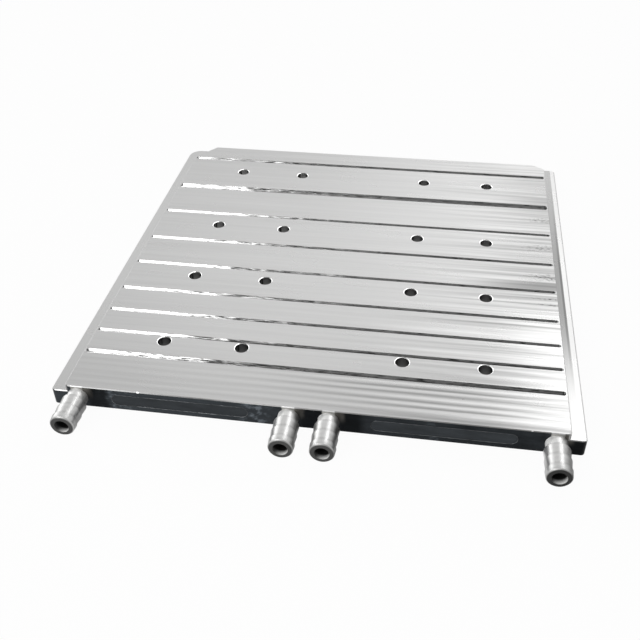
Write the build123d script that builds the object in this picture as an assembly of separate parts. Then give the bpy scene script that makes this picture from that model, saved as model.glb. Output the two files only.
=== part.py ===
from build123d import *
import os

# Liquid cooling plate: one milled aluminium block with drilled coolant channels,
# barbed hose stubs and brazed covers over the pockets that join the channels.
# Millimetres. The origin is the middle of the underside, +X runs along the port
# face, +Y from the port face to the rear and +Z out of the device face.

# Block
plate_width = 400.0
plate_length = 400.0
plate_thickness = 20.0
front_corner_radius = 3.0
rear_left_corner_radius = 12.0
rear_right_corner_radius = 4.0
edge_break = 0.6

# Clamping ledges along the two sides, below the raised device field
ledge_width = 11.5
ledge_drop = 5.5
field_left_cut_x = 18.0
field_left_cut_y = 24.0
field_right_cut_x = 12.0
field_right_cut_y = 8.0
field_cut_radius = 3.0

# Grooves across the field: distance from the port face, width
narrow_groove = 3.2
middle_groove = 4.2
wide_groove = 6.5
groove_rows = [
    (42.4, middle_groove),
    (69.2, narrow_groove),
    (97.6, narrow_groove),
    (129.0, narrow_groove),
    (169.6, narrow_groove),
    (211.4, narrow_groove),
    (260.6, narrow_groove),
    (311.5, wide_groove),
    (372.8, middle_groove),
]
groove_end_wall = 1.5
groove_depth = 2.5
groove_corner_radius = 1.5

# Bolt holes: columns each side of the middle, rows from the port face
bolt_hole_diameter = 11.0
bolt_hole_chamfer = 0.5
bolt_columns = (64.0, 128.0)
bolt_rows = (61.5, 154.0, 240.0, 347.0)

# Coolant circuit, one on each side of the middle. A pass runs on each side of every bolt column.
outer_port_from_side = 21.0
inner_port_x = 15.0
port_channel_diameter = 11.0
pass_outside_bolt = 19.0
pass_inside_bolt = 13.0
pass_channel_diameter = 7.0
channel_height = 10.0
channel_end_from_rear = 35.0

# Pockets and their brazed covers
cover_thickness = 3.0
cover_seat = 1.2
cover_edge_break = 0.3
braze_gap = 0.05
front_pocket_height = 7.6
front_pocket_depth = 12.0
crossover_width = 12.0
crossover_roof = 14.0

# Barbed hose stub
spigot_diameter = 14.0
spigot_length = 8.0
spigot_end_gap = 0.2
neck_diameter = 16.0
neck_length = 8.1
barb_count = 3
barb_pitch = 9.3
barb_nose_length = 6.3
barb_crest_diameter = 19.4
barb_root_diameter = 17.8
barb_crest_land = 0.5
stub_end_chamfer = 1.2
stub_mouth_chamfer = 0.4

# How far a cutter reaches past the face it breaks through
overcut = 1.0

front_y = -plate_length / 2
rear_y = plate_length / 2
ledge_z = plate_thickness - ledge_drop
field_width = plate_width - 2 * ledge_width
field_half = field_width / 2
outer_port_x = plate_width / 2 - outer_port_from_side
channel_end_y = rear_y - channel_end_from_rear
pass_columns = [
    column + offset
    for column in sorted(bolt_columns, reverse=True)
    for offset in (pass_outside_bolt, -pass_inside_bolt)
]


def edges_at_height(solid, height):
    """Edges that lie in the level plane at one height."""
    slack = 0.01
    return solid.edges().filter_by_position(Axis.Z, height - slack, height + slack)


def corner_at(outline, x, y):
    """The outline's vertex nearest to a point."""
    return outline.vertices().sort_by_distance(Vector(x, y, 0))[0]


def block_outline():
    """Plan of the whole block, its four corners rounded."""
    outline = Rectangle(plate_width, plate_length)
    corners = (
        (-plate_width / 2, front_y, front_corner_radius),
        (plate_width / 2, front_y, front_corner_radius),
        (-plate_width / 2, rear_y, rear_left_corner_radius),
        (plate_width / 2, rear_y, rear_right_corner_radius),
    )
    for x, y, radius in corners:
        outline = fillet(corner_at(outline, x, y), radius)
    return outline


def field_outline():
    """Plan of the raised field: front corners rounded, rear corners cut off and softened."""
    front_left = (-field_half, front_y)
    front_right = (field_half, front_y)
    left_end = (-field_half + field_left_cut_x, rear_y)
    left_start = (-field_half, rear_y - field_left_cut_y)
    right_end = (field_half - field_right_cut_x, rear_y)
    right_start = (field_half, rear_y - field_right_cut_y)
    outline = make_face(
        Polyline(
            front_left,
            front_right,
            right_start,
            right_end,
            left_end,
            left_start,
            close=True,
        )
    )
    for point in (front_left, front_right):
        outline = fillet(corner_at(outline, *point), front_corner_radius)
    for point in (left_end, left_start, right_end, right_start):
        outline = fillet(corner_at(outline, *point), field_cut_radius)
    return outline


def plain_block():
    """Ledge slab and raised field as one body, with its edges broken."""
    slab = extrude(block_outline(), ledge_z)
    slab = chamfer(edges_at_height(slab, ledge_z), edge_break)
    field = Pos(0, 0, edge_break) * extrude(field_outline(), plate_thickness - edge_break)
    field = chamfer(edges_at_height(field, plate_thickness), edge_break)
    block = slab + field
    return chamfer(edges_at_height(block, 0), edge_break)


def groove_cutters():
    """One shallow slot across the field for each row."""
    length = field_width - 2 * groove_end_wall
    floor_z = plate_thickness - groove_depth
    cutters = []
    for distance, width in groove_rows:
        plan = RectangleRounded(length, width, groove_corner_radius)
        cutters.append(Pos(0, front_y + distance, floor_z) * extrude(plan, groove_depth + overcut))
    return cutters


def bolt_hole_cutters():
    """Through holes, chamfered at both faces."""
    radius = bolt_hole_diameter / 2
    mouth = radius + bolt_hole_chamfer
    profile = make_face(
        Polyline(
            (0, -overcut),
            (mouth, -overcut),
            (mouth, 0),
            (radius, bolt_hole_chamfer),
            (radius, plate_thickness - bolt_hole_chamfer),
            (mouth, plate_thickness),
            (mouth, plate_thickness + overcut),
            (0, plate_thickness + overcut),
            close=True,
        )
    )
    cutter = revolve(Plane.XZ * profile, Axis.Z)
    columns = [side * x for side in (-1, 1) for x in bolt_columns]
    return [Pos(x, front_y + row, 0) * cutter for x in columns for row in bolt_rows]


def bar_along_y(diameter, x, start_y, end_y):
    """Round bar at channel height between two stations."""
    length = end_y - start_y
    middle = (start_y + end_y) / 2
    return Pos(x, middle, channel_height) * Rot(90, 0, 0) * Cylinder(diameter / 2, length)


def front_obround(length, height, x, start_y, end_y):
    """Obround prism that runs along Y at channel height."""
    face_plane = Plane((x, start_y, channel_height), x_dir=(1, 0, 0), z_dir=(0, 1, 0))
    return extrude(face_plane * SlotOverall(length, height), end_y - start_y)


def underside_obround(length, width, x, bottom_z, top_z):
    """Obround prism that stands on the underside over the channels' ends."""
    return Pos(x, channel_end_y, bottom_z) * extrude(SlotOverall(length, width), top_z - bottom_z)


def front_pocket_span():
    """Middle and centre-to-centre length of the front pocket of one circuit."""
    outer, inner = pass_columns[0], pass_columns[-1]
    return (outer + inner) / 2, outer - inner


def crossover_spans():
    """Middle and centre-to-centre length of the two crossover pockets."""
    half = len(pass_columns) // 2
    outer_pair = (outer_port_x, pass_columns[half - 1])
    inner_pair = (pass_columns[half], inner_port_x)
    return [((far + near) / 2, far - near) for far, near in (outer_pair, inner_pair)]


def circuit_cutters(side):
    """Everything that is cut out of the block for one coolant circuit."""
    seat_y = front_y + cover_thickness
    pocket_end_y = seat_y + front_pocket_depth
    seat_height = front_pocket_height + 2 * cover_seat
    middle, span = front_pocket_span()
    cutters = [
        front_obround(
            span + seat_height,
            seat_height,
            side * middle,
            front_y - overcut,
            seat_y,
        ),
        front_obround(
            span + front_pocket_height,
            front_pocket_height,
            side * middle,
            seat_y - overcut,
            pocket_end_y,
        ),
    ]
    for x in pass_columns:
        cutters.append(
            bar_along_y(pass_channel_diameter, side * x, pocket_end_y - overcut, channel_end_y)
        )
    seat_diameter = spigot_diameter + 2 * braze_gap
    seat_end_y = front_y + spigot_length + spigot_end_gap
    for x in (outer_port_x, inner_port_x):
        cutters.append(bar_along_y(seat_diameter, side * x, front_y - overcut, seat_end_y))
        cutters.append(
            bar_along_y(port_channel_diameter, side * x, seat_end_y - overcut, channel_end_y)
        )
    seat_width = crossover_width + 2 * cover_seat
    for middle, span in crossover_spans():
        cutters.append(
            underside_obround(
                span + seat_width,
                seat_width,
                side * middle,
                -overcut,
                cover_thickness,
            )
        )
        cutters.append(
            underside_obround(
                span + crossover_width,
                crossover_width,
                side * middle,
                cover_thickness - overcut,
                crossover_roof,
            )
        )
    return cutters


def plate_body():
    """The machined block."""
    block = plain_block()
    block -= groove_cutters()
    block -= bolt_hole_cutters()
    for side in (-1, 1):
        block -= circuit_cutters(side)
    return block


def front_cover(side):
    """Closing strip, flush in the port face over the front pocket."""
    height = front_pocket_height + 2 * (cover_seat - braze_gap)
    middle, span = front_pocket_span()
    strip = front_obround(
        span + height, height, side * middle, front_y, front_y + cover_thickness
    )
    outer_edges = strip.faces().sort_by(Axis.Y)[0].edges()
    return chamfer(outer_edges, cover_edge_break)


def crossover_cover(side, middle, span):
    """Cover, flush in the underside over a crossover pocket."""
    width = crossover_width + 2 * (cover_seat - braze_gap)
    cover = underside_obround(span + width, width, side * middle, 0, cover_thickness)
    return chamfer(edges_at_height(cover, 0), cover_edge_break)


def hose_stub():
    """Turned stub: spigot, plain neck and a row of barbs round a through bore."""
    bore = port_channel_diameter / 2
    spigot = spigot_diameter / 2
    neck = neck_diameter / 2
    crest = barb_crest_diameter / 2
    root = barb_root_diameter / 2
    slope = (crest - root) / (barb_pitch - barb_crest_land)
    points = [(bore, spigot_length), (spigot, spigot_length), (spigot, 0), (neck, 0)]
    foot = neck
    for index in range(barb_count):
        start = neck_length + index * barb_pitch
        points += [(foot, -start), (crest, -start), (crest, -start - barb_crest_land)]
        foot = root
    end = neck_length + (barb_count - 1) * barb_pitch + barb_nose_length
    nose = crest - slope * (barb_nose_length - barb_crest_land - stub_end_chamfer)
    points += [
        (nose, -end + stub_end_chamfer),
        (nose - stub_end_chamfer, -end),
        (bore + stub_mouth_chamfer, -end),
        (bore, -end + stub_mouth_chamfer),
    ]
    profile = make_face(Polyline(*points, close=True))
    return revolve(profile, Axis.Y)


def build_nodes():
    """Every piece of the plate, by name, in its place."""
    nodes = {"plate_body": plate_body()}
    stub = hose_stub()
    for side, side_name in ((-1, "left"), (1, "right")):
        nodes[f"front_cover_{side_name}"] = front_cover(side)
        for place, (middle, span) in zip(("outer", "inner"), crossover_spans()):
            nodes[f"crossover_cover_{side_name}_{place}"] = crossover_cover(side, middle, span)
        for place, x in (("outer", outer_port_x), ("inner", inner_port_x)):
            nodes[f"hose_stub_{side_name}_{place}"] = Pos(side * x, front_y, channel_height) * stub
    return nodes


os.makedirs("parts", exist_ok=True)
for node_name, solid in build_nodes().items():
    export_step(solid, f"parts/{node_name}.step")
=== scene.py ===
from math import cos, pi, radians, sin

import bpy
import numpy as np
from mathutils import Matrix, Vector


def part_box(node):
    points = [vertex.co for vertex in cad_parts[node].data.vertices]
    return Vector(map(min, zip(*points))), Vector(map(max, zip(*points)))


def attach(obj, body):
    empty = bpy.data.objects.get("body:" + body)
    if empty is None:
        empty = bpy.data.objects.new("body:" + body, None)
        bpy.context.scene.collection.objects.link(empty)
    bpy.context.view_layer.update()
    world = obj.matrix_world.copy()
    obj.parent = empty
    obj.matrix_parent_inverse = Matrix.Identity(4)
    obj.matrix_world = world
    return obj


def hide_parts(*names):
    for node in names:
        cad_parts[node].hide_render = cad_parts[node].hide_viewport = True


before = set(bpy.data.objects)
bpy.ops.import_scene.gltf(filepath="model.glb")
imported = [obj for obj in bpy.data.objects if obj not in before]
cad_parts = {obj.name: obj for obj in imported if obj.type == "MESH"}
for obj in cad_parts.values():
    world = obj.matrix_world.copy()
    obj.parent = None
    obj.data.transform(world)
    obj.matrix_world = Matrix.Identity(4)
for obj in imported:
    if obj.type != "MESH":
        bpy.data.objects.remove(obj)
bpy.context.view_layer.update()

MM = 0.001


def middle_x(name):
    """Middle of one of the frame's solids along x, in millimetres."""
    low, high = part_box(name)
    return round((low.x + high.x) / 2 / MM, 3)


# Block, in millimetres: x from the middle, d from the port face, z from the underside
block_low, block_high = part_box("plate_body")
port_face_y = block_low.y
half_width = round(block_high.x / MM, 3)
plate_length = round((block_high.y - block_low.y) / MM, 3)
plate_top = round(block_high.z / MM, 3)
ledge_top = 14.5
edge_break = 0.6
groove_half = 187.0
groove_floor = 17.5
hole_radius = 5.5
hole_mouth = 6.0
hole_columns = (64.0, 128.0)
hole_rows = (61.5, 154.0, 240.0, 347.0)

# Grooves: distance from the port face, width, how far their rolled edges reach
groove_rows = (
    (42.4, 4.2, 0.20),
    (69.2, 3.2, 0.18),
    (97.6, 3.2, 0.22),
    (129.0, 3.2, 0.22),
    (169.6, 3.2, 0.22),
    (211.4, 3.2, 0.30),
    (260.6, 3.2, 0.30),
    (311.5, 6.5, 0.55),
    (372.8, 4.2, 0.35),
)

# Tool marks: distance from the port face, half width, where they start, how dark (or bright below 0)
mark_fade_in = 130.0
tool_marks = (
    (3.2, 3.0, -20.0, 0.45),
    (7.4, 2.2, 20.0, -0.18),
    (12.8, 2.2, 0.0, 0.34),
    (16.2, 1.8, 0.0, -0.16),
    (18.9, 1.9, -40.0, 0.28),
    (22.6, 1.9, 0.0, -0.20),
    (27.2, 1.8, -60.0, 0.25),
    (30.2, 1.5, 40.0, -0.20),
    (32.7, 1.9, -40.0, 0.38),
    (37.6, 1.8, -60.0, -0.10),
    (50.5, 8.0, 20.0, 0.17),
    (59.8, 1.6, 20.0, 0.12),
    (78.5, 8.0, 10.0, -0.15),
    (83.4, 1.6, 40.0, 0.20),
    (89.0, 1.8, 40.0, 0.14),
    (93.4, 3.4, 20.0, -0.16),
    (105.0, 9.0, 0.0, -0.22),
    (119.9, 1.8, 20.0, 0.36),
    (123.4, 3.0, 40.0, -0.10),
    (135.5, 5.5, 20.0, -0.16),
    (143.4, 1.6, 60.0, 0.28),
    (147.2, 2.4, 110.0, -0.22),
    (150.8, 1.8, 60.0, 0.38),
    (159.0, 2.0, 60.0, 0.38),
    (164.4, 2.2, 100.0, -0.24),
    (191.2, 1.8, 70.0, 0.36),
    (195.6, 1.8, 110.0, -0.18),
    (201.6, 2.4, 90.0, 0.22),
    (207.4, 1.8, 110.0, -0.26),
    (230.4, 1.8, 110.0, -0.18),
    (233.4, 1.8, 90.0, 0.20),
    (244.0, 2.0, 100.0, -0.18),
    (252.0, 3.5, 90.0, 0.14),
    (268.5, 6.0, 80.0, -0.18),
    (276.0, 1.8, 90.0, 0.16),
    (278.8, 1.6, 100.0, -0.14),
    (283.0, 2.2, 120.0, 0.10),
    (303.0, 3.4, -20.0, 0.13),
    (332.4, 1.8, 90.0, -0.28),
    (340.2, 2.4, 100.0, -0.16),
    (364.5, 2.4, 90.0, 0.06),
)

# Dull patches at the right end: nearer and farther side, how dark, where they start and are full
patch_rows = (
    (171.4, 183.0, 0.44, 95.0, 175.0),
    (315.2, 330.2, 0.12, 140.0, 190.0),
)

# Scuffs at the right end: distance from the port face, half width
scuff_rows = (
    (150.8, 2.4),
    (159.0, 2.6),
    (191.0, 9.0),
    (238.0, 8.0),
    (287.0, 7.0),
)

# Hose stubs: where each stands along x, and the section that they share
stub_names = (
    "hose_stub_left_outer",
    "hose_stub_left_inner",
    "hose_stub_right_inner",
    "hose_stub_right_outer",
)
stub_columns = {name: middle_x(name) for name in stub_names}
stub_height = 10.0
bore_radius = 5.5
spigot_radius = 7.0
spigot_length = 8.0
neck_radius = 8.0
neck_length = 8.1
crest_radius = 9.7
root_radius = 8.9
barb_count = 3
barb_pitch = 9.3
barb_nose_length = 6.3
crest_land = 0.5
mouth_chamfer = 0.25
end_chamfer = 1.2
stub_length = neck_length + (barb_count - 1) * barb_pitch + barb_nose_length

# Front covers, an obround of two half circles and a straight span, and the braze bead round them
cover_low, cover_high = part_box("front_cover_right")
cover_middle = middle_x("front_cover_right")
cover_height = round((cover_high.z - cover_low.z) / MM, 3)
cover_span = round((cover_high.x - cover_low.x) / MM, 3) - cover_height
bead_radius = 0.26
bead_swell = 0.05

# Soft bright regions of the room: azimuth, elevation, reach in degrees, strength
room_lights = (
    (25, 42, 7, 5.6),
    (2, 31, 8, 0.8),
    (-16, 37, 10, 0.5),
    (-48, 16, 13, 2.0),
)

# Camera: place in metres, angles in degrees, lens in millimetres
camera_place = (0.08479, -0.63618, 0.45330)
camera_azimuth = -9.68
camera_elevation = -38.27
camera_roll = -1.26
camera_lens = 47.46


class Wire:
    """One socket of a node tree. Operators on wires and numbers add Math nodes."""

    def __init__(self, net, socket):
        self.net = net
        self.socket = socket

    def math(self, operation, *others):
        return self.net.add("ShaderNodeMath", {"operation": operation}, (self, *others))

    def turned_math(self, operation, other):
        return self.net.add("ShaderNodeMath", {"operation": operation}, (other, self))

    def __add__(self, other):
        return self.math("ADD", other)

    def __radd__(self, other):
        return self.math("ADD", other)

    def __sub__(self, other):
        return self.math("SUBTRACT", other)

    def __rsub__(self, other):
        return self.turned_math("SUBTRACT", other)

    def __mul__(self, other):
        return self.math("MULTIPLY", other)

    def __rmul__(self, other):
        return self.math("MULTIPLY", other)

    def __truediv__(self, other):
        return self.math("DIVIDE", other)

    def __rtruediv__(self, other):
        return self.turned_math("DIVIDE", other)

    def __abs__(self):
        return self.math("ABSOLUTE")

    def __pow__(self, other):
        return self.math("POWER", other)

    def rise(self, start, end):
        """0 below start, 1 above end, smooth between them."""
        settings = {"interpolation_type": "SMOOTHSTEP"}
        places = {"Value": self, "From Min": start, "From Max": end}
        return self.net.add("ShaderNodeMapRange", settings, places)

    def fall(self, start, end):
        """1 below start, 0 above end, smooth between them."""
        return 1 - self.rise(start, end)

    def within(self, low, high, soft):
        """1 between low and high, with edges softened over twice the given width."""
        return self.rise(low - soft, low + soft) * self.fall(high - soft, high + soft)

    def bell(self, middle, reach):
        """1 at middle, 0 at reach on either side of it."""
        return abs(self - middle).fall(0.0, reach)


class Net:
    """Node tree of a material or the world, filled by one method."""

    def __init__(self, tree):
        tree.nodes.clear()
        self.tree = tree

    def add(self, kind, settings=None, inputs=(), output=0):
        """Adds a node with its settings, fills its sockets and gives back one output."""
        node = self.tree.nodes.new(kind)
        for name, value in (settings or {}).items():
            setattr(node, name, value)
        filled = inputs.items() if isinstance(inputs, dict) else enumerate(inputs)
        for name, value in filled:
            if isinstance(value, Wire):
                self.tree.links.new(value.socket, node.inputs[name])
            else:
                node.inputs[name].default_value = value
        return Wire(self, node.outputs[output]) if len(node.outputs) else None

    def split(self, vector):
        """The three parts of a vector."""
        first = self.add("ShaderNodeSeparateXYZ", None, (vector,))
        outputs = first.socket.node.outputs
        return [Wire(self, outputs[axis]) for axis in "XYZ"]

    def position(self):
        """Object coordinates as millimetres: x from the middle, d from the port face, z up."""
        x, y, z = self.split(self.add("ShaderNodeTexCoord", output="Object"))
        return x / MM, (y - port_face_y) / MM, z / MM

    def facing(self):
        """The three parts of the surface's own normal."""
        return self.split(self.add("ShaderNodeNewGeometry", output="Normal"))

    def vector(self, x, y, z):
        return self.add("ShaderNodeCombineXYZ", None, (x, y, z))

    def unit(self, vector):
        """The vector at a length of 1."""
        return self.add("ShaderNodeVectorMath", {"operation": "NORMALIZE"}, (vector,))

    def noise(self, x, y, z, detail=2.0, rough=0.5):
        """Soft noise from 0 to 1, with about one blob to each unit of x, y and z."""
        place = self.vector(x, y, z)
        inputs = {"Vector": place, "Scale": 1.0, "Detail": detail, "Roughness": rough}
        return self.add("ShaderNodeTexNoise", None, inputs)

    def tinted(self, tone, colour):
        """A colour scaled by a brightness."""
        return self.add("ShaderNodeVectorMath", {"operation": "SCALE"}, {0: colour, "Scale": tone})

    def blend(self, factor, first, second):
        """The first vector or colour where factor is 0, the second where it is 1."""
        inputs = {0: factor, 4: first, 5: second}
        return self.add("ShaderNodeMix", {"data_type": "VECTOR"}, inputs, output=1)

    def lobe(self, direction, azimuth, elevation, reach):
        """Falls off round a heading: 1 along it, e^-1 at the given angle from it."""
        places = (direction, heading(azimuth, elevation))
        dot = self.add("ShaderNodeVectorMath", {"operation": "DOT_PRODUCT"}, places, "Value")
        return ((dot - 1) / (1 - cos(radians(reach)))).math("EXPONENT")

    def bump(self, height):
        """Normal of a relief whose height is in millimetres."""
        return self.add("ShaderNodeBump", None, {"Strength": 1.0, "Distance": MM, "Height": height})


def material_net(name):
    """A new material and its emptied node tree."""
    material = bpy.data.materials.new(name)
    material.use_nodes = True
    return material, Net(material.node_tree)


def metal(net, colour, roughness, normal, metallic=1.0):
    """Principled metal on the material's output."""
    inputs = {
        "Base Color": colour,
        "Metallic": metallic,
        "Roughness": roughness,
        "Normal": normal,
    }
    shader = net.add("ShaderNodeBsdfPrincipled", None, inputs)
    net.add("ShaderNodeOutputMaterial", None, {"Surface": shader})


def mixed(first, second, factor):
    """Between two values, by a factor from 0 to 1."""
    return first + (second - first) * factor


def summed(values):
    """Sum of several wires."""
    total = values[0]
    for value in values[1:]:
        total = total + value
    return total


def nearest(values):
    """Smallest of several wires."""
    least = values[0]
    for value in values[1:]:
        least = least.math("MINIMUM", value)
    return least


def from_stubs(x):
    """Distance along x from the middle of the nearest stub."""
    return nearest([abs(x - column) for column in stub_columns.values()])


class Regions:
    """Where a point of the block lies, which way it faces, and a mask for each region."""

    def __init__(self, net):
        x, d, z = net.position()
        nx, ny, nz = net.facing()
        side = abs(x)
        self.place = (x, d, z)
        self.normal = (nx, ny, nz)
        self.faces_up = nz.rise(0.85, 0.95)
        self.field = self.faces_up * z.rise(plate_top - 0.8, plate_top - 0.4)
        self.ledge = self.faces_up * z.within(ledge_top - 0.3, ledge_top + 0.3, 0.1)

        # Port face with the block's rounded corners, and the broken edge above it
        corner = side.rise(half_width - 3.3, half_width - 2.9) * d.fall(2.3, 2.7)
        corner = corner * z.within(edge_break, ledge_top - 0.5, 0.1) * (1 - self.faces_up)
        flat_face = ny.fall(-0.95, -0.85) * d.fall(0.2, 0.4)
        self.port_face = flat_face.math("MAXIMUM", corner)
        self.front_edge = ny.within(-0.8, -0.6, 0.05) * z.rise(ledge_top - 1.5, ledge_top - 1.2)

        # Bolt holes: their walls and chamfers
        from_columns = nearest([abs(side - column) for column in hole_columns])
        from_rows = nearest([abs(d - row) for row in hole_rows])
        from_hole = (from_columns * from_columns + from_rows * from_rows) ** 0.5
        on_chamfer = from_hole.within(hole_radius + 0.12, hole_mouth + 0.1, 0.03)
        outside_holes = from_hole.rise(hole_mouth + 0.1, hole_mouth + 0.2)
        self.hole_wall = from_hole.fall(hole_radius + 0.06, hole_radius + 0.12)
        self.hole_rim = on_chamfer * (1 - self.faces_up)

        # Grooves: walls and floor, the wall at their left end, and the rolled edges beside them
        inside_field = side.fall(groove_half + 0.3, groove_half + 0.5)
        inside_field = inside_field * d.within(2.0, plate_length - 2.0, 1.0)
        cut = inside_field * z.within(groove_floor - 0.3, plate_top - 0.07, 0.03) * outside_holes
        rolled = summed([
            abs(d - row).fall(width / 2 + edge - 0.05, width / 2 + edge + 0.05)
            for row, width, edge in groove_rows
        ])
        rolled = rolled * side.fall(groove_half - 1.4, groove_half - 0.8)
        self.rolled = rolled * self.field * inside_field * outside_holes * (1 - cut)
        self.groove = cut + self.rolled
        self.end_wall = cut * nx.rise(0.4, 0.7) * x.fall(2.0 - groove_half, 3.0 - groove_half)

        # Sides and rear
        self.upright = abs(nz).fall(0.3, 0.6) * (1 - cut) * outside_holes


def mark_depth(net, at):
    """How much the long tool marks darken the field, or brighten it where this is below 0. They fade
    in towards the right, partly as real marks and partly as painted light.
    """
    x, d, z = at.place
    wander = d + (net.noise(x / 45, d / 25, 21.0) - 0.5) * 1.6
    marks = summed([
        wander.bell(place, reach) * x.rise(start, start + mark_fade_in) * depth
        for place, reach, start, depth in tool_marks
    ])
    # The marks are faded where the painted highlight lies at the right front
    under_highlight = x.rise(130.0, 185.0) * d.rise(4.0, 9.0) * d.fall(98.0, 116.0)
    return marks * mixed(1.0, 0.35, under_highlight)


def field_finish(net, at):
    """Tone, roughness and relief of the milled field, whose marks grow stronger to the right, partly
    as real marks and partly as painted light, with a painted highlight at its right end.
    """
    x, d, z = at.place
    broad = net.noise(x / 220, d / 7.0, 3.0, detail=3.0) - 0.5
    fine = net.noise(x / 120, d / 1.3, 7.0) - 0.5
    cloudy = net.noise(x / 60, d / 30, 11.0) - 0.5
    streaks = net.noise(x / 210, d / 4.0, 13.0, rough=0.6) - 0.5
    chatter = net.noise(x / 3.6, d / 1.2, 17.0) - 0.5
    scuffs = x.rise(156.0, 182.0) * summed([d.bell(row, reach) for row, reach in scuff_rows])
    margin = d.fall(38.0, 44.0)

    tone = 0.71 + broad * 0.10 + cloudy * 0.03 + fine * 0.05
    # The streaks' contrast grows to the right, partly real and partly painted light
    tone = tone * (1 + streaks * mixed(0.12, 1.3, x.rise(40.0, 175.0)) * at.field)
    tone = tone * (1 - mark_depth(net, at) * at.field)
    tone = tone * mixed(1.0, mixed(0.97, 0.93, x.rise(-120.0, 60.0)), margin)
    # Painted highlight at the right end, strongest at its front corner and along the rear edge, with
    # slight painted shade between
    right_end_highlight = mixed(-0.08, 0.22, d.fall(120.0, 160.0)) + 0.20 * d.rise(374.0, 380.0)
    tone = tone * (1 + x.rise(122.0, 180.0) * right_end_highlight * at.field)
    patch = summed([
        d.within(near, far, 0.3) * x.rise(start, full) * depth
        for near, far, depth, start, full in patch_rows
    ])
    tone = tone * (1 - patch * at.field)
    tone = tone * (1 - scuffs * chatter.rise(-0.02, 0.14) * 0.75 * at.field)

    # The margin before the first groove has a coarser ripple
    ripple_pitch = 6.9
    sway = net.noise(x / 150, d / 40, 0.0) * 2.0
    ripple = ((d + sway) * (2 * pi / ripple_pitch)).math("SINE")
    ripple = ripple * mixed(0.012, 0.075, margin) * mixed(0.25, 1.0, x.rise(-100.0, 120.0))
    relief = (ripple + broad * 0.08 + fine * 0.012 + chatter * scuffs * 0.22) * at.field
    return tone, 0.28 + cloudy * 0.06, relief


def ledge_tone(at, along):
    """Ledges, milled along their length. The right one is lighter towards the rear, with a darker
    band beside the field, a darker seam in that band, and a thin darker line along its outer edge."""
    x, d, z = at.place
    right_side = x.rise(-10.0, 10.0)
    bright = mixed(0.72, 0.91, d.rise(90.0, 230.0) * right_side)
    band_tone = mixed(0.72, 0.36, d.rise(20.0, 150.0)) + 0.22 * d.rise(180.0, 400.0)
    seam = x.within(193.3, 195.2, 0.3) * d.rise(40.0, 120.0) * d.fall(200.0, 380.0)
    inner_band = right_side * x.fall(194.9, 195.6)
    outer_line = x.rise(half_width - 1.2, half_width - 0.8)
    tone = mixed(bright, band_tone - seam * 0.14, inner_band) + along * 0.10
    return tone * (1 - outer_line * 0.45)


def groove_tone(net, at, sway):
    """Grooves: a painted highlight where they start at the left, broken up and then painted shade
    towards the right, painted shade in their right ends and a left end wall painted white.
    """
    x, d, z = at.place
    highlight_end = x + sway * 140.0
    wall_tone = mixed(0.50, 0.22, highlight_end.rise(-125.0, -85.0))
    floor_tone = mixed(0.50, 0.30, highlight_end.rise(-60.0, 20.0))
    tone = mixed(wall_tone, floor_tone, at.faces_up * (1 - at.rolled))
    # Painted shade in each groove's right end
    tone = tone * mixed(1.0, 0.3, x.rise(groove_half - 2.4, groove_half - 1.6))
    fading = x.rise(-165.0, -90.0) * x.fall(-70.0, -20.0)
    highlight_gaps = net.noise(x / 8, d / 0.8, z / 0.8, detail=3.0) + fading * 0.08
    tone = tone * (1 - highlight_gaps.rise(0.55, 0.63) * x.rise(1.0 - groove_half, -150.0) * 0.85)
    # The left end wall is painted white as a highlight
    return mixed(tone, 0.95, at.end_wall)


def groove_normal(net, at, sway):
    """Grooves are hollowed by their cutter: walls and floor lean towards each other."""
    x, d, z = at.place
    nx, ny, nz = at.normal
    across = [(d - row) / (width / 2) for row, width, edge in groove_rows]
    bowl = summed([
        (share.rise(-0.6, 0.6) * 2 - 1) * abs(share).fall(1.0, 1.1) for share in across
    ])
    lean_x = nx * 0.8 + sway * 0.30
    lean_y = mixed((ny - bowl * nz) * 0.8, -0.8, at.rolled)
    lean_z = 0.6 + (net.noise(x / 22, d / 40, 8.0) - 0.5) * 0.2
    return net.vector(
        mixed(lean_x, 0.48, at.end_wall),
        mixed(lean_y, 0.0, at.end_wall),
        mixed(lean_z, 0.88, at.end_wall),
    )


def front_edge_tone(at, over_stub):
    """The broken edge above the port face, in painted light and shade: darkest just left of the
    middle, with a painted highlight on the left ledge, painted reflections over each stub and
    painted glints at two burrs."""
    x, d, z = at.place
    tone = mixed(0.16, 0.07, x.rise(-150.0, -80.0)) + 0.21 * x.rise(-80.0, -30.0)
    burr_glints = (x.bell(-130.0, 1.3) + x.bell(161.0, 1.3)) * 0.7
    left_ledge = z.fall(ledge_top + 0.5, ledge_top + 0.7) * x.fall(-188.0, -187.0) * 0.15
    return tone + burr_glints + left_ledge + over_stub * mixed(0.10, 0.40, x.rise(-170.0, -20.0))


def port_face_colour(net, at, smoke, stub_reflection):
    """The port face, dark with painted shade that deepens towards the right, with stains, darker
    just right of each stub, a halo of painted reflection beside the stubs and a painted reflection
    over each one.
    """
    x, d, z = at.place
    # Painted reflection of the stubs, as a halo beside them
    halo = (from_stubs(x - 5.0) + (smoke - 0.5) * 3.0).fall(4.0, 8.5) * z.rise(7.0, 19.5)
    right_of_stubs_darker = from_stubs(x - 16.0).fall(5.0, 13.0)
    stains = net.noise(x / 7, z / 5, 6.0, detail=5.0, rough=0.65).rise(0.46, 0.66)
    stains = stains * (x.bell(-150.0, 20.0) + x.bell(-41.0, 16.0) + x.bell(93.0, 9.0) * 0.4)
    # Painted shade: the face is dark, darker towards the right
    shade = mixed(0.062, 0.030, x.rise(-120.0, 120.0)) + (smoke - 0.5) * 0.05 + stains * 0.16
    colour = net.tinted(shade * (1 - right_of_stubs_darker * 0.7), (0.86, 0.98, 1.10))
    colour = net.blend(halo, colour, (0.19, 0.18, 0.165))
    return net.blend(stub_reflection, colour, (0.46, 0.455, 0.44))


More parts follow.
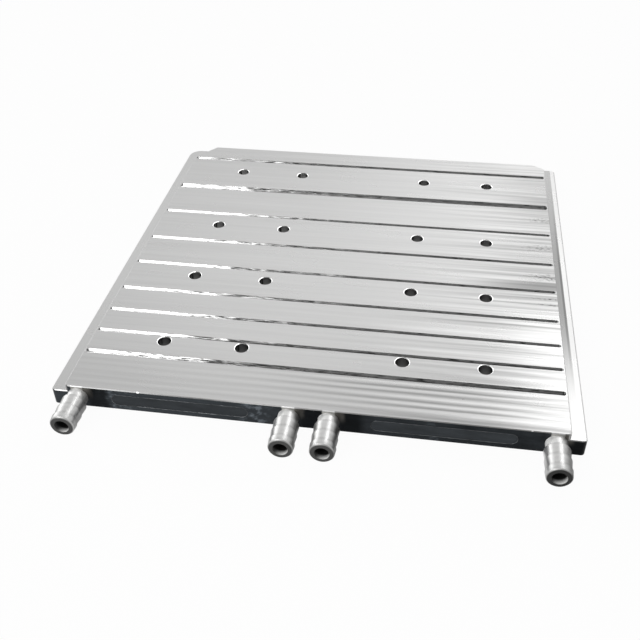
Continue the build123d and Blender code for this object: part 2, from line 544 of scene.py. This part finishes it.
def milled_material():
    """The block: milled top with tool marks and painted light, a port face dark with painted shade,
    and glossy grooves with painted highlights and shade.
    """
    net_material, net = material_net("milled_aluminium")
    at = Regions(net)
    x, d, z = at.place
    nx, ny, nz = at.normal
    tone, roughness, relief = field_finish(net, at)

    # Sides and rear carry faint lines along their length
    lines = net.noise((x + d) / 160, z / 0.9, 4.0, detail=3.0) - 0.5
    tone = mixed(tone, 0.64 + lines * 0.30, at.upright)
    relief = relief + lines * 0.03 * at.upright

    # Painted shade keeps the field's right edge darker than its other edges
    right_edge_shade = nx.within(0.62, 0.80, 0.05) * nz.rise(0.5, 0.6)
    right_edge_shade = right_edge_shade * z.rise(plate_top - 0.8, plate_top - 0.6)
    tone = tone * (1 - right_edge_shade * d.rise(50.0, 120.0) * d.fall(300.0, 380.0) * 0.40)

    along = net.noise(x / 0.8, d / 150, 5.0) - 0.5
    tone = mixed(tone, ledge_tone(at, along), at.ledge)
    relief = relief * (1 - at.ledge) + along * 0.02 * at.ledge

    sway = net.noise(x / 14, d / 1.4, z / 1.4, detail=4.0) - 0.5
    # The grooves carry painted highlights and painted shade
    tone = mixed(tone, groove_tone(net, at, sway), at.groove)
    roughness = mixed(roughness, 0.20, at.groove)
    relief = relief * (1 - at.groove)

    # The bolt holes' walls carry painted light, stronger towards the rear left, and their chamfers
    # are burnished
    hole_wall_light = 0.32 + d.rise(40.0, 330.0) * mixed(0.37, 0.20, x.rise(-130.0, 130.0))
    tone = mixed(tone, hole_wall_light, at.hole_wall)
    tone = mixed(tone, 0.60, at.hole_rim)
    roughness = mixed(roughness, 0.20, at.hole_rim)

    # Painted reflections of the stubs make the port face and its upper edge paler over each stub
    over_stub = from_stubs(x).fall(4.2, 5.2)
    stub_reflection = over_stub * z.rise(14.5, 16.0)
    smoke = net.noise(x / 16, z / 7, 2.0, detail=4.0, rough=0.6)
    # Painted light and shade on the broken edge above the port face
    tone = mixed(tone, front_edge_tone(at, over_stub), at.front_edge)
    colour = net.tinted(tone, (1.0, 1.0, 0.995))
    colour = net.blend(at.port_face, colour, port_face_colour(net, at, smoke, stub_reflection))
    roughness = mixed(roughness, mixed(0.38, 0.55, stub_reflection), at.port_face)
    relief = mixed(relief, smoke * 0.1 * (1 - stub_reflection), at.port_face)

    bent = net.blend(at.groove, net.bump(relief), groove_normal(net, at, sway))
    burnished = net.vector(0.32 - x * 0.0009, -0.03 - d * 0.00037, 0.94)
    bent = net.blend(at.hole_rim, bent, burnished)
    metal(net, colour, roughness, net.unit(bent), 1 - at.end_wall)
    return net_material


def stub_material():
    """Turned and bead-blasted stub in painted light and shade: a paler neck, darker feet and lighter
    crests at the barbs, shaded flanks and nose, a dark end face, and a bore with a painted glint on
    its lower right near the mouth and painted shade deeper in.
    """
    net_material, net = material_net("turned_aluminium")
    x, d, z = net.position()
    nx, ny, nz = net.facing()
    beside = from_stubs(x)
    above = z - stub_height
    radius = (beside * beside + above * above) ** 0.5
    bore = radius.fall(bore_radius + 0.06, bore_radius + 0.16)
    deep = d.rise(0.8 - stub_length, 5.0 - stub_length)
    end_face = d.fall(0.3 - stub_length, 0.5 - stub_length)
    nose = d.fall(0.5 - stub_length, 1.4 - stub_length)
    neck = d.rise(0.1 - neck_length, 0.7 - neck_length)

    steps = [neck_length + index * barb_pitch for index in range(barb_count)]
    # Painted shade at the feet of the barbs and painted highlights on their crests
    foot_shade = summed([d.bell(0.4 - step, 2.2) for step in steps])
    crest_highlights = summed([d.bell(-2.2 - step, 2.6) for step in steps])
    rings = net.noise(d / 0.55, 0.0, 0.0, detail=1.0) - 0.5
    facing_cut = net.noise(radius / 0.5, 0.0, 4.0, detail=1.0)
    blotch = net.noise(x / 3.6, d / 3.2, z / 3.6, detail=3.0) - 0.5
    # The neck is painted paler than the barbs
    tone = mixed(0.78, 0.94, neck) * (1 - foot_shade * 0.16 + crest_highlights * 0.08)

    # Painted light and shade on the flanks: the left one is darker on the left stubs and lighter on
    # the inner ones, the right one is dark on all, and the nose is darker too
    left_flank = mixed(0.45, 1.25, x.rise(-170.0, -20.0)) * mixed(1.0, 0.68, d.fall(-26.0, -14.0))
    tone = tone * mixed(1.0, left_flank, nx.fall(-0.9, -0.5)) * (1 - nose * 0.55)
    shaded_from = 0.50 - x * (0.20 / 180)
    right_flank = nx.rise(shaded_from, shaded_from + 0.45)
    tone = tone * mixed(1.0, 0.28, right_flank) + blotch * 0.20

    # Painted shade on the end face, and in the bore a painted glint on its lower right near the
    # mouth and painted shade deeper in
    end_face_shade = mixed(0.10, 0.05, x.rise(0.0, 180.0)) + (facing_cut - 0.5) * 0.04
    lit_side = (nz * 0.75 - nx * 0.65).rise(-0.1, 1.0)
    bore_tone = mixed(mixed(0.10, 1.0, lit_side), 0.01, deep)
    tone = mixed(mixed(tone, end_face_shade, end_face), bore_tone, bore)
    relief = mixed(rings * 0.008 + blotch * 0.04, facing_cut * 0.02, end_face)
    roughness = 0.37 + blotch * 0.10 + bore * 0.15 + nose * 0.2
    left_neck = neck * nx.fall(-0.80, -0.30) * x.rise(-100.0, -20.0)
    metallic = mixed(mixed(mixed(0.92, 0.65, neck), 0.15, left_neck), 0.2, bore)

    # The neck's normal leans outwards, away from the dark port face
    outwards = net.tinted(neck * (1 - bore), (0.0, -0.13, 0.0))
    bent = net.add("ShaderNodeVectorMath", {"operation": "ADD"}, (net.bump(relief), outwards))
    metal(net, net.tinted(tone, (1.0, 1.0, 0.99)), roughness, net.unit(bent), metallic)
    return net_material


def cover_material():
    """Covers: dark with painted shade above the underside, like the port face, and plain in the
    underside.
    """
    net_material, net = material_net("brazed_cover_aluminium")
    x, d, z = net.position()
    smoke = net.noise(x / 22, z / 6, 9.0, detail=4.0, rough=0.6) - 0.5
    above_underside = z.rise(0.5, 1.0)
    tone = mixed(0.55, 0.055 + smoke * 0.05, above_underside)
    metal(net, net.tinted(tone, (0.88, 0.98, 1.08)), 0.36, net.bump(smoke * 0.12))
    return net_material


def braze_material():
    """Braze alloy that ran along the joints: brighter than the face, slightly mottled."""
    net_material, net = material_net("braze_alloy")
    x, d, z = net.position()
    mottle = net.noise(x / 3, d / 3, z / 3, detail=3.0) - 0.5
    patchy = net.noise(x / 30, 0.0, z / 6).rise(0.30, 0.70)
    lower_run = z.fall(stub_height - 2.0, stub_height + 2.0)
    tone = mixed(0.06, 0.19, patchy) * mixed(0.75, 1.15, lower_run) + mottle * 0.05
    metal(net, net.tinted(tone, (0.94, 0.99, 1.04)), 0.30, net.bump(mottle * 0.1))
    return net_material


def grid_mesh(name, points, material, closed=True):
    """A mesh of quads over a grid of points. When closed, the last row and column of points are
    joined to the first."""
    rows, columns = points.shape[:2]
    open_ends = 0 if closed else 1
    row, column = np.meshgrid(
        np.arange(rows - open_ends), np.arange(columns - open_ends), indexing="ij"
    )
    next_row = (row + 1) % rows
    next_column = (column + 1) % columns
    corners = (
        row * columns + column,
        next_row * columns + column,
        next_row * columns + next_column,
        row * columns + next_column,
    )
    faces = np.stack([corner.ravel() for corner in corners], -1)
    mesh = bpy.data.meshes.new(name)
    mesh.from_pydata(points.reshape(-1, 3).tolist(), [], faces.tolist())
    mesh.validate()
    mesh.polygons.foreach_set("use_smooth", np.ones(len(mesh.polygons), bool))
    mesh.materials.append(material)
    piece = bpy.data.objects.new(name, mesh)
    bpy.context.scene.collection.objects.link(piece)
    return piece


def rounded_loop(corners, reaches, steps=5):
    """Closed profile whose corners are rounded. Near corner C the curve is
    (1 - t)^2 A + 2 t (1 - t) C + t^2 B, with A and B on the two sides at the corner's reach."""
    corner = np.array(corners, float)
    reach = np.array(reaches, float)[:, None]
    before = np.roll(corner, 1, 0) - corner
    after = np.roll(corner, -1, 0) - corner
    start = corner + before / np.linalg.norm(before, axis=1, keepdims=True) * reach
    end = corner + after / np.linalg.norm(after, axis=1, keepdims=True) * reach
    t = np.linspace(0.0, 1.0, steps)[None, :, None]
    curve = (1 - t) ** 2 * start[:, None] + 2 * t * (1 - t) * corner[:, None] + t**2 * end[:, None]
    return curve.reshape(-1, 2)


def stub_profile():
    """Corners of the stub's section as (radius, distance out from the port face), and how far
    each is rounded."""
    slope = (crest_radius - root_radius) / (barb_pitch - crest_land)
    corners = [
        (bore_radius, -spigot_length),
        (spigot_radius, -spigot_length),
        (spigot_radius, 0.0),
        (neck_radius, 0.0),
    ]
    reaches = [0.1, 0.3, 0.05, 0.05]
    foot = neck_radius
    for index in range(barb_count):
        start = neck_length + index * barb_pitch
        corners += [(foot, start), (crest_radius, start), (crest_radius, start + crest_land)]
        reaches += [0.35, 0.25, 0.24]
        foot = root_radius
    nose = crest_radius - slope * (barb_nose_length - crest_land - end_chamfer)
    corners += [
        (nose, stub_length - end_chamfer),
        (nose - end_chamfer, stub_length),
        (bore_radius + mouth_chamfer, stub_length),
        (bore_radius, stub_length - mouth_chamfer),
    ]
    reaches += [0.2, 0.2, 0.12, 0.12]
    return corners, reaches


def turned(name, profile, centre_x, material):
    """Solid of revolution: (x, y, z) = (cx + r sin a, yf - s, cz + r cos a) for each profile
    point (r, s) and each angle a of a full turn."""
    sides = 120
    turn = np.linspace(0.0, 2 * pi, sides, endpoint=False)
    radius, reach = profile[:, :1], profile[:, 1:]
    x = centre_x + radius * np.sin(turn)
    y = -reach + np.zeros_like(x)
    z = stub_height + radius * np.cos(turn)
    points = np.stack([x * MM, y * MM + port_face_y, z * MM], -1)
    return grid_mesh(name, points, material)


def closed_tube(name, path, radius, material):
    """A round tube along a closed path: around each path point P the ring
    P + r (cos a N + sin a B), where N and B are square to the path and r changes along it."""
    sides = 10
    ahead = np.roll(path, -1, 0) - np.roll(path, 1, 0)
    ahead /= np.linalg.norm(ahead, axis=1, keepdims=True)
    first = np.cross(ahead, (0.0, 1.0, 0.0))
    first /= np.linalg.norm(first, axis=1, keepdims=True)
    second = np.cross(ahead, first)
    angle = np.linspace(0.0, 2 * pi, sides, endpoint=False)[None, :, None]
    ring = first[:, None] * np.cos(angle) + second[:, None] * np.sin(angle)
    points = path[:, None] + ring * radius[:, None, None]
    return grid_mesh(name, points * MM + np.array((0.0, port_face_y, 0.0)), material)


def obround_path(middle_x, span, height, middle_z, step):
    """Points round an obround at d = 0, evenly spaced, and the share of the way round at each:
    two straight runs, and two half circles (r sin b, r cos b) of bend b."""
    radius = height / 2
    turn = pi * radius
    length = 2 * span + 2 * turn
    s = np.arange(0.0, length, step)
    on_top = s < span
    on_right = (s >= span) & (s < span + turn)
    below = (s >= span + turn) & (s < 2 * span + turn)
    bend = np.where(on_right, s - span, s - 2 * span - turn) / radius
    runs = [on_top, on_right, below]
    x_runs = [s - span / 2, span / 2 + radius * np.sin(bend), span / 2 - (s - span - turn)]
    z_runs = [radius + 0 * s, radius * np.cos(bend), -radius + 0 * s]
    x = np.select(runs, x_runs, -span / 2 - radius * np.sin(bend))
    z = np.select(runs, z_runs, -radius * np.cos(bend))
    return np.stack([middle_x + x, 0 * s, middle_z + z], -1), s / length


def seam_bead(side, side_name, material):
    """Braze bead round a front cover: a thin tube whose radius is a mean plus three sine waves
    of the distance round the seam."""
    path, share = obround_path(side * cover_middle, cover_span, cover_height, stub_height, 0.8)
    wave = (
        np.sin(2 * pi * 9 * share + side)
        + np.sin(2 * pi * 23 * share + 2 * side)
        + np.sin(2 * pi * 41 * share)
    )
    radius = bead_radius + bead_swell * wave
    piece = closed_tube("braze_seam_" + side_name, path, radius, material)
    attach(piece, "root")


def heading(azimuth, elevation):
    """Unit vector: azimuth 0 points along +Y and 90 along +X, elevation is above the horizon."""
    a, e = radians(azimuth), radians(elevation)
    return (sin(a) * cos(e), cos(a) * cos(e), sin(e))


def studio_world():
    """White to the camera; to the metal, a pale room with soft brighter regions."""
    world = bpy.data.worlds.new("studio")
    bpy.context.scene.world = world
    world.use_nodes = True
    net = Net(world.node_tree)
    direction = net.add("ShaderNodeTexCoord", output="Generated")

    up = net.split(direction)[2]
    level = 0.50 + 0.36 * up.fall(0.05, 0.45)
    for azimuth, elevation, reach, strength in room_lights:
        level = level + strength * net.lobe(direction, azimuth, elevation, reach)
    studio = net.add("ShaderNodeBackground", None, {"Color": net.vector(level, level, level)})
    white = net.add("ShaderNodeBackground", None, {"Color": (1, 1, 1, 1)})
    camera_ray = net.add("ShaderNodeLightPath", output="Is Camera Ray")
    shader = net.add("ShaderNodeMixShader", None, (camera_ray, studio, white))
    net.add("ShaderNodeOutputWorld", None, {"Surface": shader})


def softbox(name, azimuth, elevation, distance, size, radiance):
    """Area lamp that looks at the middle of the plate's top and that the camera doesn't see."""
    light = bpy.data.lights.new(name, "AREA")
    light.shape = "RECTANGLE"
    light.size, light.size_y = size
    light.energy = radiance * pi * size[0] * size[1]
    lamp = bpy.data.objects.new(name, light)
    away = Vector(heading(azimuth, elevation))
    target = Vector((0.0, 0.0, plate_top * MM))
    turn = away.to_track_quat("Z", "Y").to_matrix().to_4x4()
    lamp.matrix_world = Matrix.Translation(target + away * distance) @ turn
    lamp.visible_camera = False
    bpy.context.scene.collection.objects.link(lamp)


def studio_floor():
    """Pale floor: mostly plain white to the camera, with enough real shading for a shadow.
    Seen from below it is clear, so that the underside shows."""
    reach = 6.0
    floor_gap = 0.0001
    x, y = np.meshgrid([-reach, reach], [-reach, reach], indexing="ij")
    points = np.stack([x, y, np.full_like(x, block_low.z - floor_gap)], -1)
    material, net = material_net("pale_floor")
    shaded = net.add("ShaderNodeBsdfDiffuse", None, {"Color": (0.8, 0.8, 0.8, 1)})
    white = net.add("ShaderNodeEmission", None, {"Color": (1, 1, 1, 1), "Strength": 1.0})
    to_camera = net.add("ShaderNodeLightPath", output="Is Camera Ray")
    to_metal = net.add("ShaderNodeLightPath", output="Is Glossy Ray")
    factor = to_camera * 0.96 + to_metal * 0.40
    shader = net.add("ShaderNodeMixShader", None, (factor, shaded, white))
    from_below = net.add("ShaderNodeNewGeometry", output="Backfacing")
    clear = net.add("ShaderNodeBsdfTransparent")
    shader = net.add("ShaderNodeMixShader", None, (from_below, shader, clear))
    net.add("ShaderNodeOutputMaterial", None, {"Surface": shader})
    grid_mesh("studio_floor", points, material, closed=False)


def photo_camera():
    """Camera at the photograph's place: heading and tilt as fitted, turned by its roll."""
    ahead = Vector(heading(camera_azimuth, camera_elevation))
    level_right = ahead.cross(Vector((0, 0, 1))).normalized()
    level_up = level_right.cross(ahead)
    roll = radians(camera_roll)
    right = level_right * cos(roll) + level_up * sin(roll)
    up = level_up * cos(roll) - level_right * sin(roll)
    data = bpy.data.cameras.new("photo_camera")
    data.sensor_width = 36.0
    data.lens = camera_lens
    data.clip_start = 0.01
    camera = bpy.data.objects.new("photo_camera", data)
    turn = Matrix((right, up, -ahead)).transposed().to_4x4()
    camera.matrix_world = Matrix.Translation(camera_place) @ turn
    bpy.context.scene.collection.objects.link(camera)
    bpy.context.scene.camera = camera


def dress():
    """Materials on the solids, and the pieces that stand for them or lie on them."""
    finishes = {"plate_body": milled_material()}
    stub = stub_material()
    cover = cover_material()
    braze = braze_material()
    finishes.update(dict.fromkeys(stub_columns, stub))
    for name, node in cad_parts.items():
        node.data.materials[0] = finishes.get(name, cover)
    profile = rounded_loop(*stub_profile())
    for name, centre_x in stub_columns.items():
        piece = turned("turned_" + name, profile, centre_x, stub)
        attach(piece, "root")
        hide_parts(name)
    for side, side_name in ((-1, "left"), (1, "right")):
        seam_bead(side, side_name, braze)


bpy.context.scene.view_settings.view_transform = "Standard"
photo_camera()
studio_world()
softbox("groove_softbox", azimuth=213, elevation=33, distance=2.0, size=(0.9, 0.7), radiance=6.0)
studio_floor()
dress()
